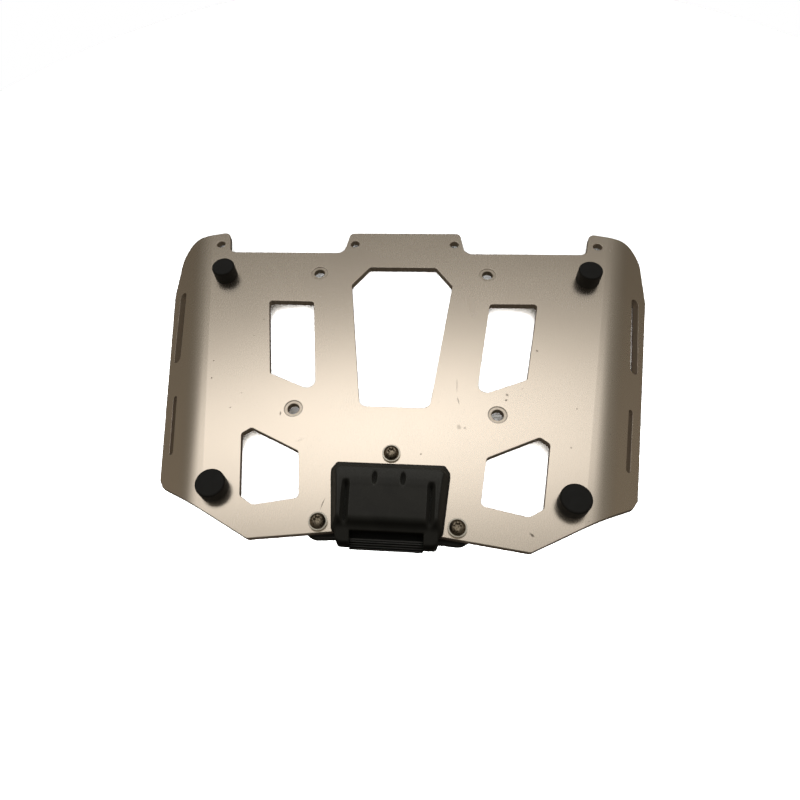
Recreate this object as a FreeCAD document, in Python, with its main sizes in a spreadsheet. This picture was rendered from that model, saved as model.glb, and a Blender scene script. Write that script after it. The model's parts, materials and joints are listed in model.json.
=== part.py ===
import FreeCAD, Part
import math
import os
import Sketcher

V = FreeCAD.Vector
doc = FreeCAD.newDocument("luggage_rack")

# ---------------------------------------------------------------------------
# Driving dimensions, in millimetres and degrees.
# X runs across the rack, +Y towards the front edge with the three tabs, +Z up.
# The origin is under the middle of the rack, on the surface that its two
# folded side flanges stand on.  DY moves the drawing datum, which lies on the
# centre line between the windows, to that origin.
# ---------------------------------------------------------------------------
DY = 15.45
BEND_RAD, BEND_ANG, FLANGE, SHEET = 36.0, 34.0, 20.1, 5.0
# height of the sheet's top face, so that the flanges' lower edges are at Z = 0
RISE = (
    BEND_RAD * (1 - math.cos(math.radians(BEND_ANG)))
    + FLANGE * math.sin(math.radians(BEND_ANG))
    + SHEET * math.cos(math.radians(BEND_ANG))
)

DIMS = {
    # sheet and its two long bends
    "sheet": SHEET,
    "plate_top": RISE,
    "bend_x": 148.0 - 0.179 * DY,
    "bend_skew": 10.15,
    "bend_rad": BEND_RAD,
    "bend_ang": BEND_ANG,
    "flange_len": FLANGE,
    # outline of the sheet, half of it
    "tab_x": 46.9, "tab_y": 121.7 + DY,
    "tabroot_x": 50.9, "notch_y": 98.8 + DY,
    "notch_x": 149.7,
    "horn_x": 154.2, "horn_y": 122.1 + DY,
    "wing_x": 196.0, "wing_y": 112.8 + DY,
    "side_x": 198.2, "side_y": -60.0 + DY,
    "clip_ax": 166.6, "clip_ay": -106.2 + DY,
    "clip_bx": 162.0, "clip_by": -112.4 + DY,
    "tail_x": 90.3, "tail_y": -149.7 + DY,
    "well_x": 27.5, "well_ry": -141.5 + DY, "well_fy": -104.0 + DY,
    "tab_rad": 4.0, "tabroot_rad": 7.5, "notch_rad": 6.0, "horn_rad": 5.0,
    "wing_rad": 22.5, "clip_rad": 3.0, "tail_rad": 3.5, "well_rad": 3.0,
    # middle window
    "wa_tx": 27.4, "wa_ty": 83.1 + DY, "wa_sx": 40.9, "wa_sy": 63.9 + DY,
    "wa_bx": 25.2, "wa_by": -49.4 + DY, "wa_rt": 2.0, "wa_rb": 6.0,
    # front side windows
    "wb_ox": 107.0, "wb_oy": 46.4 + DY, "wb_ix": 70.2, "wb_iy": 45.9 + DY,
    "wb_jx": 58.6, "wb_jy": -38.6 + DY, "wb_px": 95.2, "wb_py": -23.4 + DY,
    "wb_rad": 2.5, "wb_rj": 6.0,
    # rear side windows
    "wc_ox": 107.9, "wc_oy": -74.5 + DY, "wc_ax": 101.2, "wc_ay": -69.5 + DY,
    "wc_ix": 64.7, "wc_iy": -86.6 + DY, "wc_jx": 60.0, "wc_jy": -120.6 + DY,
    "wc_bx": 90.7, "wc_by": -127.0 + DY, "wc_px": 100.4, "wc_py": -121.0 + DY,
    "wc_rad": 3.0, "wc_rb": 6.0,
    # mounting holes with shallow seats, and the smaller holes in the tabs
    "mh_rad": 4.2, "seat_rad": 6.6, "seat_deep": 0.5, "mh_sink": 0.3,
    "mf_x": 69.1, "mf_y": 76.2 + DY, "mr_x": 73.1, "mr_y": -53.0 + DY,
    "th_rad": 3.5, "th_sink": 0.4,
    "ti_x": 42.2, "ti_y": 109.3 + DY, "te_x": 159.8, "te_y": 108.0 + DY,
    # strap slots in the flanges: distance down the flange, along it, sizes
    "slot_down": 9.4, "sa_mid": 47.65, "sa_half": 31.1, "sa_rad": 3.9, "sa_turn": 2.0,
    "sb_mid": -44.2, "sb_half": 22.7, "sb_rad": 2.1,
    # buffers
    "bf_x": 147.8, "bf_y": 72.3 + DY, "bf_rad": 9.25, "bf_tall": 11.5,
    "br_x": 119.0, "br_y": -116.4 + DY, "br_rad": 10.2, "br_tall": 10.0,
    "b_edge": 1.4, "disc_rad": 7.0, "disc_thk": 1.6,
    "stud_rad": 3.0, "stud_hole": 3.3, "stud_len": 15.2,
    # M6 hardware
    "wsh_rad": 6.25, "wsh_bore": 3.2, "wsh_thk": 1.6,
    "nut_flat": 10.0, "nut_tall": 6.0, "nut_bore": 3.02,
    "head_rad": 5.25, "head_tall": 3.3, "screw_len": 20.0, "drive_deep": 1.9,
    # catch block on the rear centre
    "sc_fy": -86.2 + DY, "sc_rx": 45.0, "sc_ry": -136.5 + DY,
    "skirt_thk": 2.2,
    "sk_tx": 36.8, "sk_ty": -93.6 + DY, "sk_cx": 40.6, "sk_cy": -99.4 + DY,
    "sk_rx": 35.3, "sk_ry": -143.2 + DY,
    "panel_up": 12.0,
    "lo_fx": 34.2, "lo_fy": -97.2 + DY, "lo_cx": 37.4, "lo_cy": -101.4 + DY,
    "lo_rx": 34.0, "lo_ry": -142.2 + DY,
    "hi_fx": 28.2, "hi_fy": -110.6 + DY, "hi_cx": 31.8, "hi_cy": -114.0 + DY,
    "hi_rx": 30.4, "hi_ry": -137.0 + DY,
    "wall": 2.8,
    "cheek_up": 5.0, "cheek_down": 5.0, "cheek_x": 32.6, "cheek_ry": -151.0 + DY,
    "cheek_fy": -144.9 + DY, "cheek_top": -139.0 + DY,
    "bay_x": 24.0, "bay_fy": -140.9 + DY, "cheek_rad": 5.5,
    "boss_x": 21.5, "boss_fy": -112.5 + DY, "boss_ry": -129.5 + DY,
    "boss_rad": 3.8, "pilot_rad": 1.6,
    "base_thk": 4.5, "ear_rad": 10.0, "web_thk": 2.5,
    "lip_x": 23.6, "lip_fy": -146.6 + DY, "lip_ry": -152.6 + DY,
    "catch_x": 16.0, "catch_thk": 2.0, "cs_x": 9.0, "cs_y": -127.0 + DY,
}

sheet = doc.addObject("Spreadsheet::Sheet", "dims")
for row, (name, value) in enumerate(DIMS.items(), 1):
    sheet.set("A%d" % row, name)
    sheet.set("B%d" % row, "%.4f" % value)
    sheet.setAlias("B%d" % row, name)
doc.recompute()


def dim(name):
    return float(sheet.get(name))


def plane(body, role):
    for feature in body.Origin.OriginFeatures:
        if feature.Role == role:
            return feature
    raise RuntimeError("no plane " + role)


def new_body(name):
    body = doc.addObject("PartDesign::Body", name)
    body.Label = name
    return body


def new_sketch(body, name, role="XY_Plane", lift=None, offset=None):
    """A sketch on one of the body's own planes, lifted by an expression."""
    sk = body.newObject("Sketcher::SketchObject", name)
    sk.AttachmentSupport = [(plane(body, role), "")]
    sk.MapMode = "FlatFace"
    if offset is not None:
        sk.AttachmentOffset = offset
    if lift is not None:
        sk.setExpression("AttachmentOffset.Base.z", lift)
    return sk


def split(term):
    """'-wa_tx' -> (-1, 'wa_tx'); a plain number stays a number."""
    if isinstance(term, (int, float)):
        return float(term), None
    if term.startswith("-"):
        return -dim(term[1:]), "-dims." + term[1:]
    return dim(term), "dims." + term


def polygon(sk, points, rounds=None):
    """Closed straight outline; each corner is held by two bound distances.

    rounds gives corners that are drawn as tangent arcs, {index: radius}; such
    a corner is held by a point where its two lines would meet.
    """
    rounds = rounds or {}
    values = [(split(a), split(b)) for a, b in points]
    spots = [V(x, y, 0) for (x, _), (y, _) in values]
    n = len(values)
    enter, leave, bulge = list(spots), list(spots), {}
    for i, radius in rounds.items():
        p, r = spots[i], dim(radius.lstrip("-"))
        u = (spots[i - 1] - p).normalize()
        v = (spots[(i + 1) % n] - p).normalize()
        half = math.acos(max(-1.0, min(1.0, u.dot(v)))) / 2
        enter[i] = p + u * (r / math.tan(half))
        leave[i] = p + v * (r / math.tan(half))
        out = (u + v).normalize()
        bulge[i] = p + out * (r / math.sin(half) - r)
    lines = [
        sk.addGeometry(Part.LineSegment(leave[i], enter[(i + 1) % n]), False) for i in range(n)
    ]

    rules = []

    def hold(geo, pos, i):
        (x, ex), (y, ey) = values[i]
        for kind, value, expr in (("DistanceX", x, ex), ("DistanceY", y, ey)):
            if expr is None and value == 0.0:
                # on an axis of the sketch
                axis = -2 if kind == "DistanceX" else -1
                rules.append((Sketcher.Constraint("PointOnObject", geo, pos, axis), None))
            else:
                rules.append((Sketcher.Constraint(kind, -1, 1, geo, pos, value), expr))

    for i in range(n):
        if i not in rounds:
            rules.append((Sketcher.Constraint("Coincident", lines[i - 1], 2, lines[i], 1), None))
            hold(lines[i], 1, i)
            continue
        arc = sk.addGeometry(Part.Arc(enter[i], bulge[i], leave[i]), False)
        # a sketch counts an arc's ends anticlockwise
        turned = (bulge[i] - enter[i]).cross(leave[i] - bulge[i]).z < 0
        first, last = (2, 1) if turned else (1, 2)
        point = sk.addGeometry(Part.Point(spots[i]), True)
        rules += [
            (Sketcher.Constraint("Tangent", lines[i - 1], 2, arc, first), None),
            (Sketcher.Constraint("Tangent", arc, last, lines[i], 1), None),
            (Sketcher.Constraint("PointOnObject", point, 1, lines[i - 1]), None),
            (Sketcher.Constraint("PointOnObject", point, 1, lines[i]), None),
            (Sketcher.Constraint("Radius", arc, dim(rounds[i])), "dims." + rounds[i]),
        ]
        hold(point, 1, i)
    start = sk.ConstraintCount
    sk.addConstraint([rule for rule, expr in rules])
    for k, (rule, expr) in enumerate(rules):
        if expr is not None:
            sk.setExpression("Constraints[%d]" % (start + k), expr)
    # the solver must leave every corner where it was drawn
    sk.solve()
    for k, line in enumerate(lines):
        now = sk.Geometry[line]
        if (now.StartPoint - leave[k]).Length > 0.02 or (now.EndPoint - enter[(k + 1) % n]).Length > 0.02:
            raise RuntimeError("%s: corner %d moved" % (sk.Name, k))


def circle(sk, x, y, radius):
    (cx, ex), (cy, ey), (r, er) = split(x), split(y), split(radius)
    g = sk.addGeometry(Part.Circle(V(cx, cy, 0), V(0, 0, 1), r), False)
    for kind, value, expr in (("DistanceX", cx, ex), ("DistanceY", cy, ey)):
        if expr is None and value == 0.0:
            sk.addConstraint(Sketcher.Constraint("PointOnObject", g, 3, -2 if kind == "DistanceX" else -1))
            continue
        k = sk.addConstraint(Sketcher.Constraint(kind, -1, 1, g, 3, value))
        if expr is not None:
            sk.setExpression("Constraints[%d]" % k, expr)
    k = sk.addConstraint(Sketcher.Constraint("Radius", g, r))
    if er is not None:
        sk.setExpression("Constraints[%d]" % k, er)


def pad(body, sk, name, length, down=False, middle=False):
    feature = body.newObject("PartDesign::Pad", name)
    feature.Profile = sk
    feature.Reversed = down
    feature.Midplane = middle
    feature.setExpression("Length", length)
    sk.Visibility = False
    doc.recompute()
    return feature


def volume(body):
    return body.Shape.Volume


def pocket(body, sk, name, length=None, up=False, middle=False):
    before = volume(body)
    feature = body.newObject("PartDesign::Pocket", name)
    feature.Profile = sk
    feature.Reversed = up
    feature.Midplane = middle
    if length is None:
        feature.Type = 1
    else:
        feature.setExpression("Length", length)
    sk.Visibility = False
    doc.recompute()
    if not volume(body) < before - 0.5:
        raise RuntimeError("%s cuts nothing: %.1f -> %.1f" % (name, before, volume(body)))
    return feature


def corner_edges(feature, corners, tol=0.4):
    """Names of the upright edges that stand at the given corners."""
    found = []
    for x, y in corners:
        hit = None
        for i, e in enumerate(feature.Shape.Edges, 1):
            if e.Curve.TypeId != "Part::GeomLine":
                continue
            a, b = e.Vertexes[0].Point, e.Vertexes[-1].Point
            if abs(a.x - b.x) + abs(a.y - b.y) > 0.02 or abs(a.z - b.z) < 0.5:
                continue
            if abs(a.x - x) < tol and abs(a.y - y) < tol:
                hit = "Edge%d" % i
        if hit is None:
            raise RuntimeError("no upright edge at %.1f, %.1f" % (x, y))
        found.append(hit)
    return found


def round_corners(body, name, corners, radius):
    """Fillet on upright corners, with its radius bound to the sheet."""
    base = body.Tip
    feature = body.newObject("PartDesign::Fillet", name)
    feature.Base = (base, corner_edges(base, corners))
    feature.setExpression("Radius", radius)
    base.Visibility = False
    doc.recompute()
    return feature


def both(points):
    return [(s * x, y) for x, y in points for s in (1, -1)]


def chamfer_edges(body, name, test, size):
    base = body.Tip
    names = ["Edge%d" % i for i, e in enumerate(base.Shape.Edges, 1) if test(e)]
    if not names:
        raise RuntimeError(name + ": no edges")
    feature = body.newObject("PartDesign::Chamfer", name)
    feature.Base = (base, names)
    feature.setExpression("Size", size)
    doc.recompute()
    return feature


def fillet_edges(body, name, test, radius):
    base = body.Tip
    names = ["Edge%d" % i for i, e in enumerate(base.Shape.Edges, 1) if test(e)]
    if not names:
        raise RuntimeError(name + ": no edges")
    feature = body.newObject("PartDesign::Fillet", name)
    feature.Base = (base, names)
    feature.setExpression("Radius", radius)
    doc.recompute()
    return feature


def mirror_x(body, name, originals):
    feature = body.newObject("PartDesign::Mirrored", name)
    feature.Originals = originals
    feature.MirrorPlane = (plane(body, "YZ_Plane"), [""])
    body.Tip = feature
    doc.recompute()
    return feature


TOP = "dims.plate_top"
skew = math.radians(dim("bend_skew"))
ang = math.radians(dim("bend_ang"))
R, T, L = dim("bend_rad"), dim("sheet"), dim("flange_len")

# ---------------------------------------------------------------------------
# rack_plate: one folded sheet, with its flat middle and two splayed flanges
# ---------------------------------------------------------------------------
plate = new_body("rack_plate")

sk = new_sketch(plate, "plate_middle", lift=TOP)
tan = math.tan(skew)
far, near = 145.0 + DY, -172.0 + DY
mid = [(dim("bend_x") + tan * far, far), (dim("bend_x") + tan * near, near)]
polygon(sk, [(mid[0][0], far), (mid[1][0], near), (-mid[1][0], near), (-mid[0][0], far)])
pad(plate, sk, "middle_pad", "dims.sheet", down=True)

# Section of one bend and its flange, square to the bend line.
lean = FreeCAD.Placement(
    V(dim("bend_x"), dim("plate_top"), 0), FreeCAD.Rotation(V(0, 1, 0), -dim("bend_skew"))
)
sk = new_sketch(plate, "flange_section", role="XZ_Plane", offset=lean)
sk.setExpression("AttachmentOffset.Base.x", "dims.bend_x")
sk.setExpression("AttachmentOffset.Base.y", "dims.plate_top")
cx, cy = R * math.sin(ang), -R * (1 - math.cos(ang))
gx, gy = (R - T) * math.sin(ang), -R + (R - T) * math.cos(ang)
ex, ey = cx + L * math.cos(ang), cy - L * math.sin(ang)
fx, fy = gx + L * math.cos(ang), gy - L * math.sin(ang)
g = [
    sk.addGeometry(Part.LineSegment(V(-20, 0, 0), V(0, 0, 0)), False),
    sk.addGeometry(Part.ArcOfCircle(Part.Circle(V(0, -R, 0), V(0, 0, 1), R), math.pi / 2 - ang, math.pi / 2), False),
    sk.addGeometry(Part.LineSegment(V(cx, cy, 0), V(ex, ey, 0)), False),
    sk.addGeometry(Part.LineSegment(V(ex, ey, 0), V(fx, fy, 0)), False),
    sk.addGeometry(Part.LineSegment(V(fx, fy, 0), V(gx, gy, 0)), False),
    sk.addGeometry(Part.ArcOfCircle(Part.Circle(V(0, -R, 0), V(0, 0, 1), R - T), math.pi / 2 - ang, math.pi / 2), False),
    sk.addGeometry(Part.LineSegment(V(0, -T, 0), V(-20, -T, 0)), False),
    sk.addGeometry(Part.LineSegment(V(-20, -T, 0), V(-20, 0, 0)), False),
]
C = Sketcher.Constraint
sk.addConstraint(C("Horizontal", g[0]))
sk.addConstraint(C("Horizontal", g[6]))
sk.addConstraint(C("Vertical", g[7]))
sk.addConstraint(C("Coincident", g[7], 2, g[0], 1))
sk.addConstraint(C("Coincident", g[6], 2, g[7], 1))
sk.addConstraint(C("Tangent", g[0], 2, g[1], 2))
sk.addConstraint(C("Tangent", g[1], 1, g[2], 1))
sk.addConstraint(C("Coincident", g[2], 2, g[3], 1))
sk.addConstraint(C("Perpendicular", g[2], g[3]))
sk.addConstraint(C("Coincident", g[3], 2, g[4], 1))
sk.addConstraint(C("Tangent", g[4], 2, g[5], 1))
sk.addConstraint(C("Tangent", g[5], 2, g[6], 1))
sk.addConstraint(C("Coincident", g[1], 3, g[5], 3))
sk.addConstraint(C("Coincident", g[0], 2, -1, 1))
k = sk.addConstraint(C("DistanceX", g[0], 1, -1, 1, 20.0))
k = sk.addConstraint(C("Radius", g[1], R))
sk.setExpression("Constraints[%d]" % k, "dims.bend_rad")
k = sk.addConstraint(C("Distance", g[7], T))
sk.setExpression("Constraints[%d]" % k, "dims.sheet")
k = sk.addConstraint(C("Distance", g[2], L))
sk.setExpression("Constraints[%d]" % k, "dims.flange_len")
k = sk.addConstraint(C("Angle", g[2], math.radians(-dim("bend_ang"))))
sk.setExpression("Constraints[%d]" % k, "-dims.bend_ang * 1deg")
doc.recompute()
flange = plate.newObject("PartDesign::Pad", "flange_pad")
flange.Profile = sk
flange.Midplane = True
flange.Length = 520
doc.recompute()
mirror_x(plate, "flange_mirror", [flange])

# Outline of the sheet: everything outside it is trimmed away.
sk = new_sketch(plate, "outline", lift=TOP + " + 30")
polygon(sk, [(340.0, 340.0), (-340.0, 340.0), (-340.0, -340.0), (340.0, -340.0)])
right = [
    ("tab_x", "tab_y"), ("tabroot_x", "notch_y"), ("notch_x", "notch_y"), ("horn_x", "horn_y"),
    ("wing_x", "wing_y"), ("side_x", "side_y"), ("clip_ax", "clip_ay"), ("clip_bx", "clip_by"),
    ("tail_x", "tail_y"), ("well_x", "well_ry"), ("well_x", "well_fy"),
]
polygon(sk, right + [("-" + x, y) for x, y in reversed(right)], {4: "wing_rad", 17: "wing_rad"})
pocket(plate, sk, "outline_cut")


def at(*pairs):
    return [(dim(x), dim(y)) for x, y in pairs]


round_corners(plate, "tab_round", both(at(("tab_x", "tab_y"))), "dims.tab_rad")
round_corners(plate, "tabroot_round", both(at(("tabroot_x", "notch_y"))), "dims.tabroot_rad")
round_corners(plate, "notch_round", both(at(("notch_x", "notch_y"))), "dims.notch_rad")
round_corners(plate, "horn_round", both(at(("horn_x", "horn_y"))), "dims.horn_rad")
round_corners(plate, "tail_round", both(at(("tail_x", "tail_y"))), "dims.tail_rad")
round_corners(plate, "well_round", both(at(("well_x", "well_fy"))), "dims.well_rad")

# Five windows
sk = new_sketch(plate, "windows", lift=TOP)
half = [("wa_tx", "wa_ty"), ("wa_sx", "wa_sy"), ("wa_bx", "wa_by")]
polygon(sk, half + [("-" + x, y) for x, y in reversed(half)])
side_b = [("wb_ox", "wb_oy"), ("wb_ix", "wb_iy"), ("wb_jx", "wb_jy"), ("wb_px", "wb_py")]
side_c = [("wc_ox", "wc_oy"), ("wc_ax", "wc_ay"), ("wc_ix", "wc_iy"), ("wc_jx", "wc_jy"), ("wc_bx", "wc_by"), ("wc_px", "wc_py")]
for side in (side_b, side_c):
    polygon(sk, side)
    polygon(sk, [("-" + x, y) for x, y in side])
pocket(plate, sk, "window_cut")
round_corners(plate, "wa_top_round", both(at(("wa_tx", "wa_ty"), ("wa_sx", "wa_sy"))), "dims.wa_rt")
round_corners(plate, "wa_low_round", both(at(("wa_bx", "wa_by"))), "dims.wa_rb")
round_corners(plate, "wb_round", both(at(("wb_ox", "wb_oy"), ("wb_ix", "wb_iy"), ("wb_px", "wb_py"))), "dims.wb_rad")
round_corners(plate, "wb_inner_round", both(at(("wb_jx", "wb_jy"))), "dims.wb_rj")
round_corners(plate, "wc_round", both(at(("wc_ox", "wc_oy"), ("wc_ax", "wc_ay"), ("wc_ix", "wc_iy"), ("wc_jx", "wc_jy"), ("wc_px", "wc_py"))), "dims.wc_rad")
round_corners(plate, "wc_low_round", both(at(("wc_bx", "wc_by"))), "dims.wc_rb")

# Shallow round seats for the mounting screws
sk = new_sketch(plate, "seats", lift=TOP)
for s in ("", "-"):
    circle(sk, s + "mf_x", "mf_y", "seat_rad")
    circle(sk, s + "mr_x", "mr_y", "seat_rad")
pocket(plate, sk, "seat_cut", "dims.seat_deep")

# Holes: four mounting holes in those seats, four in the tabs, four for the
# buffers and three for the catch block.
sk = new_sketch(plate, "holes", lift=TOP)
for s in ("", "-"):
    circle(sk, s + "mf_x", "mf_y", "mh_rad")
    circle(sk, s + "mr_x", "mr_y", "mh_rad")
    circle(sk, s + "ti_x", "ti_y", "th_rad")
    circle(sk, s + "te_x", "te_y", "th_rad")
    circle(sk, s + "bf_x", "bf_y", "stud_hole")
    circle(sk, s + "br_x", "br_y", "stud_hole")
    circle(sk, s + "sc_rx", "sc_ry", "stud_hole")
circle(sk, 0.0, "sc_fy", "stud_hole")
pocket(plate, sk, "hole_cut")


def rim(radius, places, z):
    def test(e):
        if e.Curve.TypeId != "Part::GeomCircle" or abs(e.Curve.Radius - radius) > 0.01:
            return False
        c = e.Curve.Center
        return abs(c.z - z) < 0.01 and any(abs(abs(c.x) - x) < 0.1 and abs(c.y - y) < 0.1 for x, y in places)
    return test


chamfer_edges(plate, "mount_sink", rim(dim("mh_rad"), at(("mf_x", "mf_y"), ("mr_x", "mr_y")), dim("plate_top") - dim("seat_deep")), "dims.mh_sink")
chamfer_edges(plate, "tab_sink", rim(dim("th_rad"), at(("ti_x", "ti_y"), ("te_x", "te_y")), dim("plate_top")), "dims.th_sink")

# Two strap slots in each flange, cut square to its face.
root = V(dim("bend_x"), 0, dim("plate_top")) + V(math.cos(skew), -math.sin(skew), 0) * (R * math.sin(ang)) + V(0, 0, -R * (1 - math.cos(ang)))
along = V(math.sin(skew), math.cos(skew), 0)
down = V(math.cos(skew) * math.cos(ang), -math.sin(skew) * math.cos(ang), -math.sin(ang))
face = FreeCAD.Placement(root, FreeCAD.Rotation(down, along, down.cross(along), "ZXY"))
cuts = []
for tag, turn in (("sa", dim("sa_turn")), ("sb", 0.0)):
    # each slot is drawn about its own middle, the front one turned a little
    middle = face.multiply(FreeCAD.Placement(V(dim("slot_down"), dim(tag + "_mid"), 0), FreeCAD.Rotation(V(0, 0, 1), turn)))
    sk = new_sketch(plate, tag + "_slot", offset=middle)
    h0, r0 = dim(tag + "_half"), dim(tag + "_rad")
    ids = [
        sk.addGeometry(Part.ArcOfCircle(Part.Circle(V(0, h0, 0), V(0, 0, 1), r0), 0, math.pi), False),
        sk.addGeometry(Part.LineSegment(V(-r0, h0, 0), V(-r0, -h0, 0)), False),
        sk.addGeometry(Part.ArcOfCircle(Part.Circle(V(0, -h0, 0), V(0, 0, 1), r0), math.pi, 2 * math.pi), False),
        sk.addGeometry(Part.LineSegment(V(r0, -h0, 0), V(r0, h0, 0)), False),
    ]
    a, b, c, d = ids
    start = sk.ConstraintCount
    sk.addConstraint([
        C("Tangent", a, 2, b, 1), C("Tangent", b, 2, c, 1), C("Tangent", c, 2, d, 1), C("Tangent", d, 2, a, 1),
        C("PointOnObject", a, 3, -2), C("PointOnObject", c, 3, -2),
        C("Radius", a, r0), C("DistanceY", -1, 1, a, 3, h0), C("DistanceY", -1, 1, c, 3, -h0),
    ])
    sk.setExpression("Constraints[%d]" % (start + 6), "dims.%s_rad" % tag)
    sk.setExpression("Constraints[%d]" % (start + 7), "dims.%s_half" % tag)
    sk.setExpression("Constraints[%d]" % (start + 8), "-dims.%s_half" % tag)
    cuts.append(pocket(plate, sk, tag + "_slot_cut", "dims.sheet * 3", middle=True))
mirror_x(plate, "slot_mirror", cuts)

# ---------------------------------------------------------------------------
# Four rubber buffers, each bonded to a steel disc with a threaded stud
# ---------------------------------------------------------------------------


def lathe(body, name, profile, arcs=None):
    """Solid of revolution about Z from a half section, as (r, z) points.

    Each coordinate is a number or an expression's (value, text).  arcs gives
    the corners that are rounded, by index, with a bulge point.
    """
    sk = new_sketch(body, name + "_section", role="XZ_Plane")
    n = len(profile)
    for i in range(n):
        a, b = profile[i], profile[(i + 1) % n]
        if arcs and i in arcs:
            m = arcs[i]
            sk.addGeometry(Part.Arc(V(a[0], a[1], 0), V(m[0], m[1], 0), V(b[0], b[1], 0)), False)
        else:
            sk.addGeometry(Part.LineSegment(V(a[0], a[1], 0), V(b[0], b[1], 0)), False)
    def end(i, which):
        # start and end points of an arc may be stored the other way round
        g0 = sk.Geometry[i]
        target = profile[i] if which == 1 else profile[(i + 1) % n]
        p = g0.StartPoint
        return 1 if abs(p.x - target[0]) + abs(p.y - target[1]) < 1e-6 else 2
    for i in range(n):
        j = (i + 1) % n
        sk.addConstraint(C("Coincident", i, end(i, 2), j, end(j, 1)))
    for i in range(n):
        x, z = profile[i]
        if abs(x) < 1e-9:
            sk.addConstraint(C("PointOnObject", i, end(i, 1), -2))
        else:
            sk.addConstraint(C("DistanceX", -1, 1, i, end(i, 1), x))
        if abs(z) < 1e-9:
            sk.addConstraint(C("PointOnObject", i, end(i, 1), -1))
        else:
            sk.addConstraint(C("DistanceY", -1, 1, i, end(i, 1), z))
    feature = body.newObject("PartDesign::Revolution", name)
    feature.Profile = sk
    feature.ReferenceAxis = (sk, ["V_Axis"])
    feature.Angle = 360
    feature.Reversed = False
    doc.recompute()
    return feature, sk


def bind(sk, pairs):
    """Bind distances of a lathe section: {(index, 'x' or 'y'): expression}."""
    for k, con in enumerate(sk.Constraints):
        key = (con.Second, "x" if con.Type == "DistanceX" else "y")
        if con.Type in ("DistanceX", "DistanceY") and key in pairs:
            sk.setExpression("Constraints[%d]" % k, pairs[key])
    doc.recompute()


def place(body, x, y, z):
    body.setExpression("Placement.Base.x", x)
    body.setExpression("Placement.Base.y", y)
    body.setExpression("Placement.Base.z", z)


def buffer(label, x, y, rad, tall):
    r, h, e = dim(rad), dim(tall), dim("b_edge")
    dr, dt = dim("disc_rad"), dim("disc_thk")
    body = new_body(label)
    q = e * (1 - math.sqrt(0.5))
    profile = [(0, dt), (dr, dt), (dr, 0), (r, 0), (r, h - e), (r - e, h), (0, h)]
    f, sk = lathe(body, label + "_turn", profile, {4: (r - q, h - q)})
    bind(sk, {
        (0, "y"): "dims.disc_thk", (1, "x"): "dims.disc_rad", (1, "y"): "dims.disc_thk",
        (2, "x"): "dims.disc_rad", (3, "x"): "dims." + rad, (4, "x"): "dims." + rad,
        (4, "y"): "dims.%s - dims.b_edge" % tall, (5, "x"): "dims.%s - dims.b_edge" % rad,
        (5, "y"): "dims." + tall, (6, "y"): "dims." + tall,
    })
    place(body, x, y, TOP)
    return body


def stud(label, x, y):
    dr, dt, sr, sl = dim("disc_rad"), dim("disc_thk"), dim("stud_rad"), dim("stud_len")
    body = new_body(label)
    profile = [(0, -sl), (sr - 0.6, -sl), (sr, -sl + 0.6), (sr, 0), (dr, 0), (dr, dt), (0, dt)]
    f, sk = lathe(body, label + "_turn", profile)
    bind(sk, {
        (0, "y"): "-dims.stud_len", (1, "y"): "-dims.stud_len", (1, "x"): "dims.stud_rad - 0.6",
        (2, "x"): "dims.stud_rad", (2, "y"): "0.6 - dims.stud_len", (3, "x"): "dims.stud_rad",
        (4, "x"): "dims.disc_rad", (5, "x"): "dims.disc_rad", (5, "y"): "dims.disc_thk", (6, "y"): "dims.disc_thk",
    })
    place(body, x, y, TOP)
    return body


BUFFERS = (
    ("front_left", "-dims.bf_x", "dims.bf_y", "bf_rad", "bf_tall"),
    ("front_right", "dims.bf_x", "dims.bf_y", "bf_rad", "bf_tall"),
    ("rear_left", "-dims.br_x", "dims.br_y", "br_rad", "br_tall"),
    ("rear_right", "dims.br_x", "dims.br_y", "br_rad", "br_tall"),
)
pieces = [plate]
for side, x, y, rad, tall in BUFFERS:
    pieces.append(buffer(side + "_buffer", x, y, rad, tall))
for side, x, y, rad, tall in BUFFERS:
    pieces.append(stud(side + "_buffer_stud", x, y))


# ---------------------------------------------------------------------------
# Loose hardware: washers and locking nuts, built from primitives in groups
# ---------------------------------------------------------------------------
def washer(name, x, y, z):
    """Flat ring: outer cylinder less its bore."""
    a = doc.addObject("Part::Cylinder", name + "_disc")
    b = doc.addObject("Part::Cylinder", name + "_bore")
    a.setExpression("Radius", "dims.wsh_rad")
    a.setExpression("Height", "dims.wsh_thk")
    b.setExpression("Radius", "dims.wsh_bore")
    b.setExpression("Height", "dims.wsh_thk + 2")
    for o, dz in ((a, ""), (b, " - 1")):
        o.setExpression("Placement.Base.x", x)
        o.setExpression("Placement.Base.y", y)
        o.setExpression("Placement.Base.z", z + dz)
    cut = doc.addObject("Part::Cut", name)
    cut.Base, cut.Tool = a, b
    return cut


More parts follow.
